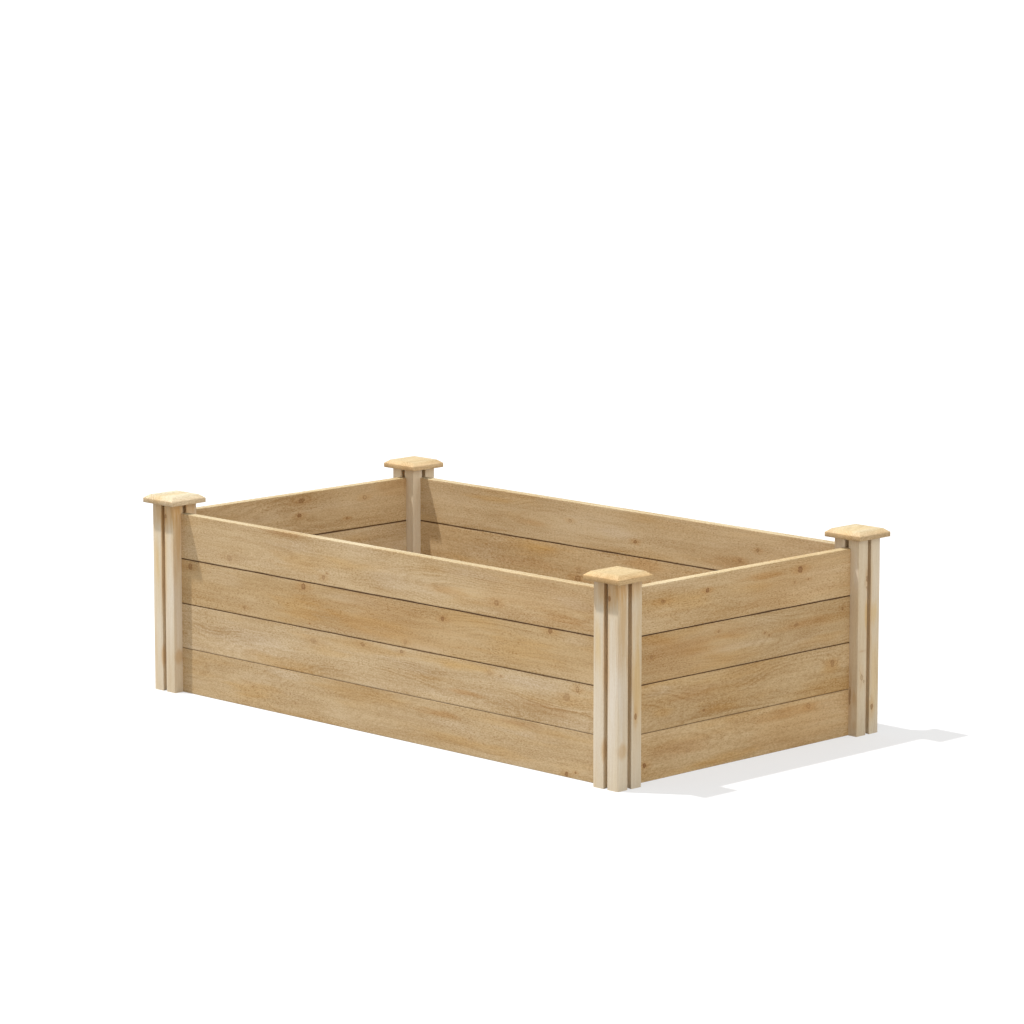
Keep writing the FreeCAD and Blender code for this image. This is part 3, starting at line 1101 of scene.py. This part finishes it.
class GARDENBED_OT_boards(Operator):
    """Build the boards of the four walls"""

    bl_idname = "garden_bed.boards"
    bl_label = "Boards"

    def execute(self, context):
        sizes = context.scene.garden_bed_boards
        for wall in WALL_TURN:
            for row in range(1, ROWS + 1):
                name = f"board_{wall}_{row}"
                placing, size = placing_and_size(name, wall)
                chance = random.Random("cut of " + name)
                knots = board_knots(name, size.x, size.z)
                cut = Cut(
                    pith_across=chance.uniform(0.25, 0.75) * size.z,
                    pith_depth=chance.choice((-1, 1)) * chance.uniform(35, 95) * MM,
                    spacing=chance.uniform(2.4, 3.6) * MM,
                    contrast=chance.uniform(0.25, 0.40),
                    patches=1.0,
                    specks=1.0,
                )
                shader_knots = [board_knot_inputs(knot) for knot in knots]
                stains = [board_stain_inputs(stain) for stain in board_stains(name, size.x, size.z)]
                tone = BOARD_TONE[wall][row - 1]
                material = wood_material(name + "_cedar", sizes, cut, shader_knots, stains, tone)
                mesh = board_mesh(size, sizes, knots, seed=chance.uniform(0, 50))
                # Shade painted into the joints between boards, and a tint painted for the light on
                # the top edge of the top row.
                joint_shades = ((0.0, JOINT_SHADE[row - 1]), (size.z, JOINT_SHADE[row]))
                lit_tops = ((size.z, 1.0),) if row == ROWS else ()
                add_piece(name, mesh, placing, material, (0, 2, 1), joint_shades, lit_tops)
        return {"FINISHED"}


# ------------------------------------------------------------------ posts


def post_outline(half, sizes):
    """The section of a post: a square with a dovetail groove in the middle of each side."""
    mouth = sizes.groove_mouth / 2
    floor = mouth + sizes.groove_flare
    depth = half - sizes.groove_depth
    side = [(-half, -half), (-mouth, -half), (-floor, -depth), (floor, -depth), (mouth, -half)]
    radii = [sizes.edge_round, sizes.groove_edge, 0, 0, sizes.groove_edge]
    corners = []
    for quarter in range(4):
        turn = Matrix.Rotation(math.radians(90 * quarter), 2)
        corners += [turn @ Vector(corner) for corner in side]
    return rounded_outline(corners, radii * 4, steps=3)


def post_mesh(size, sizes, seed):
    """A post: its grooved section drawn up its height, with a hole for the peg in its top."""
    mesh = bmesh.new()
    longest_side = 9 * MM
    outline = split_sides(post_outline(size.x / 2, sizes), longest_side)
    rings = []
    for height in marks_between(0.0, size.z, sizes.mesh_step):
        points = []
        for point in outline:
            out = point.normalized() * unevenness((*point, height), POST_FACE, seed)
            points.append((point.x + out.x, point.y + out.y, height))
        rings.append(ring(mesh, points))
    stack(mesh, rings)
    mesh.faces.new(rings[0])
    blind_hole(mesh, rings[-1], sizes.hole_radius, size.z, size.z - sizes.hole_depth)
    return mesh


def on_post(mark, half, up, across, inward):
    """Where a mark on one face of a post lies in its grain, which runs up, and its extent."""
    turn = Matrix.Rotation(math.radians(WALL_TURN[mark.face]), 3, "Z")
    place = turn @ Vector((mark.across * MM, -half, 0.0))
    level = (inward, across) if mark.face in SIDE_WALLS else (across, inward)
    return (mark.height * MM, place.x, place.y), (up, *level)


def post_knot_inputs(knot, half):
    """What the shader needs for a knot on one face of a post."""
    return knot_inputs(knot, *on_post(knot, half, knot.stretch, 1.0, inward=4.0))


def post_stain_and_shade_inputs(stain, half):
    """What the shader needs for a stain, painted shade or painted light on one face of a post."""
    extent = (stain.half_up * MM, stain.half_across * MM)
    return stain_inputs(stain, *on_post(stain, half, *extent, inward=14 * MM))


class GARDENBED_OT_posts(Operator):
    """Build the four grooved corner posts"""

    bl_idname = "garden_bed.posts"
    bl_label = "Posts"

    def execute(self, context):
        sizes = context.scene.garden_bed_posts
        for corner in CORNERS:
            name = "post_" + corner
            placing, size = placing_and_size(name)
            chance = random.Random("cut of " + name)
            cut = Cut(
                pith_across=chance.uniform(40, 90) * MM,
                pith_depth=chance.uniform(40, 90) * MM,
                spacing=chance.uniform(2.2, 3.2) * MM,
                contrast=chance.uniform(0.20, 0.30),
                patches=0.7,
                specks=0.25,
            )
            knots = [post_knot_inputs(knot, size.x / 2) for knot in POST_KNOTS[corner]]
            # Stains, with shade painted into the grooves and under the caps, and light painted on
            # one post.
            stains = [post_stain_and_shade_inputs(stain, size.x / 2) for stain in POST_STAINS_AND_SHADE[corner]]
            tone = POST_TONE[corner]
            material = wood_material(name + "_cedar", sizes, cut, knots, stains, tone)
            mesh = post_mesh(size, sizes, seed=chance.uniform(0, 50))
            add_piece(name, mesh, placing, material, (2, 0, 1))
        return {"FINISHED"}


# ------------------------------------------------------------------ caps


def square_ring(mesh, half, corner_round, height, seed):
    """A level square ring with rounded corners, and as many points whatever its size."""
    corners = [Vector((half * x, half * y)) for x, y in SQUARE]
    corner_steps = 4
    side_steps = 8
    points = []
    outline = rounded_outline(corners, [corner_round] * 4, corner_steps)
    for index, start in enumerate(outline):
        end = outline[(index + 1) % len(outline)]
        ends_corner = index % (corner_steps + 1) == corner_steps
        pieces = side_steps if ends_corner else 1
        points += [start.lerp(end, piece / pieces) for piece in range(pieces)]
    rise = [unevenness((*point, height), CAP_FACE, seed) for point in points]
    return ring(mesh, [(point.x, point.y, height + up) for point, up in zip(points, rise)])


def cap_mesh(size, sizes, seat_depth, seed):
    """A cap: a slab whose top edge is bevelled all round, with a seat for the peg below."""
    mesh = bmesh.new()
    soft = sizes.edge_round
    side_top = size.z - sizes.bevel_rise
    slope = sizes.bevel_rise / sizes.bevel_inset
    top_inset = sizes.bevel_inset
    top_step = 12 * MM
    # Each ring of the outline: how far it lies in from the side, and its height.
    outline = [
        (soft, 0.0),
        (0.3 * soft, 0.3 * soft),
        (0.0, soft),
        (0.0, side_top - 0.5 * soft),
        (0.3 * soft, side_top + 0.3 * soft * slope),
        (top_inset - 0.7 * soft, size.z - 0.7 * soft * slope),
        (top_inset + 0.6 * soft, size.z),
        (top_inset + top_step, size.z),
        (top_inset + 2 * top_step, size.z),
    ]
    rings = []
    for inset, height in outline:
        wavy = seed if height > side_top else 0.0
        half = size.x / 2 - inset
        rings.append(square_ring(mesh, half, sizes.corner_round, height, wavy))
    stack(mesh, rings)
    mesh.faces.new(rings[-1])
    blind_hole(mesh, rings[0], sizes.seat_radius, 0.0, seat_depth)
    return mesh


class GARDENBED_OT_caps(Operator):
    """Build the four bevelled caps of the posts"""

    bl_idname = "garden_bed.caps"
    bl_label = "Caps"

    def execute(self, context):
        sizes = context.scene.garden_bed_caps
        for corner in CORNERS:
            name = "cap_" + corner
            placing, size = placing_and_size(name)
            seat_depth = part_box("cap_peg_" + corner)[1].z - placing.translation.z
            chance = random.Random("cut of " + name)
            cut = Cut(
                pith_across=chance.uniform(-60, 60) * MM,
                pith_depth=chance.uniform(-70, -35) * MM,
                spacing=chance.uniform(2.4, 3.4) * MM,
                contrast=chance.uniform(0.45, 0.65),
                patches=0.8,
                specks=0.8,
            )
            material = wood_material(name + "_cedar", sizes, cut, tone=CAP_TONE[corner])
            mesh = cap_mesh(size, sizes, seat_depth, seed=chance.uniform(0, 50))
            # A cooler tint painted on the top of the cap, for the strong light on it.
            lit_tops = ((size.z, 1.0),)
            add_piece(name, mesh, placing, material, (1, 0, 2), lit_tops=lit_tops)
        return {"FINISHED"}


# ------------------------------------------------------------------ pegs


def peg_mesh(size, sizes):
    """A peg: a fluted dowel, bevelled at both ends."""
    mesh = bmesh.new()
    per_flute = 4
    count = sizes.flutes * per_flute
    outline = [
        (sizes.end_bevel, 0.0),
        (0.0, sizes.end_bevel),
        (0.0, size.z / 2),
        (0.0, size.z - sizes.end_bevel),
        (sizes.end_bevel, size.z),
    ]
    rings = []
    for inset, height in outline:
        points = []
        for index in range(count):
            turn = math.tau * index / count
            dip = 0.5 - 0.5 * math.cos(sizes.flutes * turn)
            radius = size.x / 2 - inset - sizes.flute_depth * dip
            points.append((radius * math.cos(turn), radius * math.sin(turn), height))
        rings.append(ring(mesh, points))
    stack(mesh, rings)
    mesh.faces.new(rings[0])
    mesh.faces.new(rings[-1])
    return mesh


class GARDENBED_OT_pegs(Operator):
    """Build the pegs that centre the caps on their posts"""

    bl_idname = "garden_bed.pegs"
    bl_label = "Pegs"

    def execute(self, context):
        sizes = context.scene.garden_bed_pegs
        for corner in CORNERS:
            name = "cap_peg_" + corner
            placing, size = placing_and_size(name)
            cut = Cut(20 * MM, 20 * MM, spacing=1.6 * MM, contrast=0.3, patches=0.6, specks=0.6)
            material = wood_material(name + "_dowel", sizes, cut)
            add_piece(name, peg_mesh(size, sizes), placing, material, (2, 0, 1))
        return {"FINISHED"}


# ------------------------------------------------------------------ stage


def seen_directly(tree):
    """1 for rays that show a surface in the picture, a gloss or a glass; 0 for light."""
    rays = put(tree, "LightPath").outputs
    mirrored = calc(tree, "MAXIMUM", rays["Is Glossy Ray"], rays["Is Transmission Ray"])
    return calc(tree, "MAXIMUM", rays["Is Camera Ray"], mirrored)


def shader_of(tree, kind, colour, **settings):
    """A plain shader of one colour."""
    return put(tree, kind, {"Color": colour, **settings}).outputs[0]


def blend_shader(tree, factor, first, second):
    """The mix of two shaders."""
    return put(tree, "MixShader", {0: factor, 1: first, 2: second}).outputs[0]


def paint_sky(settings):
    """Soft light from all round, with a white background."""
    world = bpy.data.worlds.new("Studio")
    bpy.context.scene.world = world
    tree = bare_tree(world)
    light = shader_of(tree, "Background", WHITE, Strength=settings.sky_strength)
    backdrop = shader_of(tree, "Background", WHITE, Strength=1.0)
    mixed = blend_shader(tree, seen_directly(tree), light, backdrop)
    put(tree, "OutputWorld", {"Surface": mixed})


def floor_material(settings):
    """A pale floor that looks white, keeps the bed's shadow and sends some light back up."""
    material = bpy.data.materials.new("studio_floor")
    tree = bare_tree(material)
    pale = (0.8, 0.8, 0.8, 1.0)
    bounce = (*(settings.floor_bounce,) * 3, 1.0)
    glow = shader_of(tree, "Emission", WHITE, Strength=1.0)
    shaded = shader_of(tree, "BsdfDiffuse", pale)
    seen = blend_shader(tree, settings.shadow_depth, glow, shaded)
    lit = shader_of(tree, "BsdfDiffuse", bounce)
    mixed = blend_shader(tree, seen_directly(tree), lit, seen)
    put(tree, "OutputMaterial", {"Surface": mixed})
    return material


def add_sun(name, strength, spread, toward):
    """A light from far away that shines toward a direction."""
    lamp = bpy.data.lights.new(name, "SUN")
    lamp.energy = strength
    lamp.angle = math.radians(spread)
    sun = add_object(name, lamp)
    sun.rotation_euler = Vector(toward).to_track_quat("-Z", "Y").to_euler()


class GARDENBED_OT_stage(Operator):
    """Set up the floor, the soft studio light and the camera"""

    bl_idname = "garden_bed.stage"
    bl_label = "Stage"

    def execute(self, context):
        scene = context.scene
        settings = scene.garden_bed_stage
        half_floor = 60.0
        data = bpy.data.meshes.new("studio_floor")
        corners = [(x * half_floor, y * half_floor, 0) for x, y in SQUARE]
        data.from_pydata(corners, [], [(0, 1, 2, 3)])
        data.materials.append(floor_material(settings))
        floor = add_object("studio_floor", data)

        paint_sky(settings)
        add_sun("key_light", settings.key_strength, spread=1.5, toward=(0.335, 0.235, -1.0))
        add_sun("fill_light", settings.fill_strength, spread=60, toward=(-1.0, 0.15, -0.35))

        lens = bpy.data.cameras.new("camera")
        lens.sensor_width = 36
        lens.lens = settings.focal_length
        lens.clip_end = 200
        camera = add_object("camera", lens)
        camera.location = settings.camera_place
        camera.rotation_euler = (math.radians(90) - settings.camera_dip, 0, settings.camera_turn)
        scene.camera = camera
        scene.view_settings.view_transform = "Standard"
        return {"FINISHED"}


# ------------------------------------------------------------------ add-on


class GARDENBED_PT_main(Panel):
    """The garden bed's pieces and their sizes and colours"""

    bl_idname = "GARDENBED_PT_main"
    bl_label = "Garden bed"
    bl_space_type = "VIEW_3D"
    bl_region_type = "UI"
    bl_category = "Garden bed"

    def draw(self, context):
        for name, operator in OPERATORS.items():
            box = self.layout.box()
            box.operator(operator.bl_idname)
            settings = getattr(context.scene, "garden_bed_" + name)
            for key in settings.__annotations__:
                box.prop(settings, key)


SETTINGS = {
    "boards": GARDENBED_PG_boards,
    "posts": GARDENBED_PG_posts,
    "caps": GARDENBED_PG_caps,
    "pegs": GARDENBED_PG_pegs,
    "stage": GARDENBED_PG_stage,
}

OPERATORS = {
    "boards": GARDENBED_OT_boards,
    "posts": GARDENBED_OT_posts,
    "caps": GARDENBED_OT_caps,
    "pegs": GARDENBED_OT_pegs,
    "stage": GARDENBED_OT_stage,
}


def register():
    """Add the settings, the operators and the panel."""
    for name, group in SETTINGS.items():
        bpy.utils.register_class(group)
        setattr(bpy.types.Scene, "garden_bed_" + name, PointerProperty(type=group))
    for operator in OPERATORS.values():
        bpy.utils.register_class(operator)
    bpy.utils.register_class(GARDENBED_PT_main)


def unregister():
    """Take them away again."""
    bpy.utils.unregister_class(GARDENBED_PT_main)
    for operator in reversed(OPERATORS.values()):
        bpy.utils.unregister_class(operator)
    for name, group in reversed(SETTINGS.items()):
        delattr(bpy.types.Scene, "garden_bed_" + name)
        bpy.utils.unregister_class(group)


def main():
    """Build the bed and its stage."""
    register()
    bpy.ops.garden_bed.boards()
    bpy.ops.garden_bed.posts()
    bpy.ops.garden_bed.caps()
    bpy.ops.garden_bed.pegs()
    bpy.ops.garden_bed.stage()


if __name__ == "__main__":
    main()
